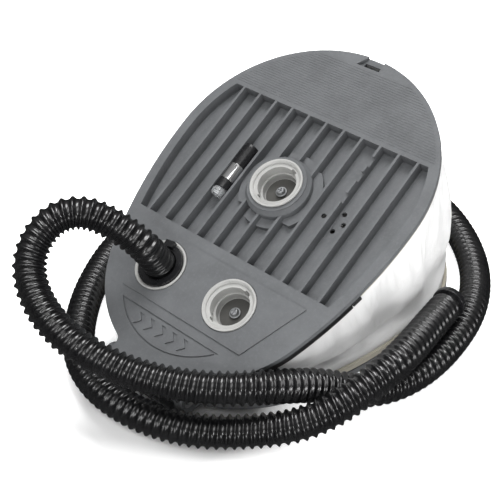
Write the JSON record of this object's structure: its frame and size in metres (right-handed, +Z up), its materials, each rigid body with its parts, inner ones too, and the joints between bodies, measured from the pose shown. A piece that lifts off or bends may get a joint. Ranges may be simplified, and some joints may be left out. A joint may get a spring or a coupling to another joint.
{
  "type": "foot bellows pump",
  "caption": "Foot-operated bellows air pump: egg-shaped hinged pedal over a fabric bellows, with screw-in ports and a long ribbed hose coiled round the base.",
  "frame": {"origin": "on the ground under the hinge axis, at the middle of the nose foot", "axes": "+X along the hinge, +Y from the hinged nose to the heel, +Z up"},
  "size_m": [0.3079, 0.3908, 0.1678],
  "materials": {
    "pedal_plastic": "fine moulded satin grain",
    "base_plastic": "fine moulded satin grain",
    "white_plastic": "satin gloss",
    "bead_plastic": "satin",
    "black_plastic": "semi-gloss",
    "hose_plastic": "semi-gloss corrugated",
    "seal_rubber": "matt",
    "flap_rubber": "matt",
    "bellows_fabric": "coated fabric, slight sheen",
    "steel": "bright zinc",
    "spring_steel": "oiled",
    "chrome_ferrule": "polished",
    "clear_plastic": "clear moulded"
  },
  "bodies": {
    "base": {"base_plate": "base_plastic", "base_feet": "seal_rubber", "hinge_pin": "steel", "pin_clips": "steel", "lower_clamp_band": "bead_plastic", "lower_spring_cup": "white_plastic", "latch_pin": "steel", "bellows": "bellows_fabric", "return_spring": "spring_steel", "hose": "hose_plastic", "hose_end_cuff": "black_plastic"},
    "pedal": {"pedal_plate": "pedal_plastic", "upper_clamp_bead": "bead_plastic", "nose_seal": "seal_rubber", "seal_clips": "seal_rubber", "hose_port_sleeve": "white_plastic", "spare_port_sleeve": "white_plastic", "centre_port_sleeve": "white_plastic", "port_gaskets": "seal_rubber", "port_ring_nuts": "base_plastic", "upper_spring_cup": "white_plastic", "valve_screws": "steel", "valve_washers": "steel", "relief_housing": "white_plastic", "relief_spring": "spring_steel"},
    "suction_flap": {"suction_flap": "flap_rubber"},
    "outlet_flap": {"outlet_flap": "flap_rubber"},
    "centre_flap": {"centre_flap": "flap_rubber"},
    "relief_poppet": {"relief_poppet": "flap_rubber"},
    "connector": {"hose_connector": "black_plastic", "connector_seal": "seal_rubber"},
    "adapter": {"adapter_body": "black_plastic", "adapter_ferrule": "chrome_ferrule", "adapter_tip": "clear_plastic"},
    "latch": {"latch_hook": "base_plastic"}
  },
  "joints": [
    {"name": "pedal_hinge", "type": "hinge", "parent": "base", "child": "pedal", "pos_m": [0, 0, 0.0166], "axis": [1, 0, 0], "range_deg": [-27, 0], "deforming": ["bellows", "return_spring", "hose"]},
    {"name": "suction_flap_lift", "type": "slide", "parent": "pedal", "child": "suction_flap", "axis": [0, -0.4772, 0.8788], "range_m": [-0.0015, 0]},
    {"name": "outlet_flap_lift", "type": "slide", "parent": "pedal", "child": "outlet_flap", "axis": [0, -0.4772, 0.8788], "range_m": [0, 0.0015]},
    {"name": "centre_flap_lift", "type": "slide", "parent": "pedal", "child": "centre_flap", "axis": [0, -0.4772, 0.8788], "range_m": [0, 0.0015]},
    {"name": "relief_lift", "type": "slide", "parent": "pedal", "child": "relief_poppet", "axis": [0, -0.4772, 0.8788], "range_m": [0, 0.002], "deforming": ["relief_spring"]},
    {"name": "connector_twist", "type": "hinge", "parent": "pedal", "child": "connector", "pos_m": [-0.0405, 0.0546, 0.06274], "axis": [0, -0.4772, 0.8788], "range_deg": [0, 20]},
    {"name": "adapter_lift", "type": "slide", "parent": "pedal", "child": "adapter", "axis": [0, -0.4772, 0.8788], "range_m": [0, 0.03]},
    {"name": "latch_swing", "type": "hinge", "parent": "base", "child": "latch", "pos_m": [0.0021, 0.3, 0.01], "axis": [1, 0, 0], "range_deg": [0, 20]}
  ]
}
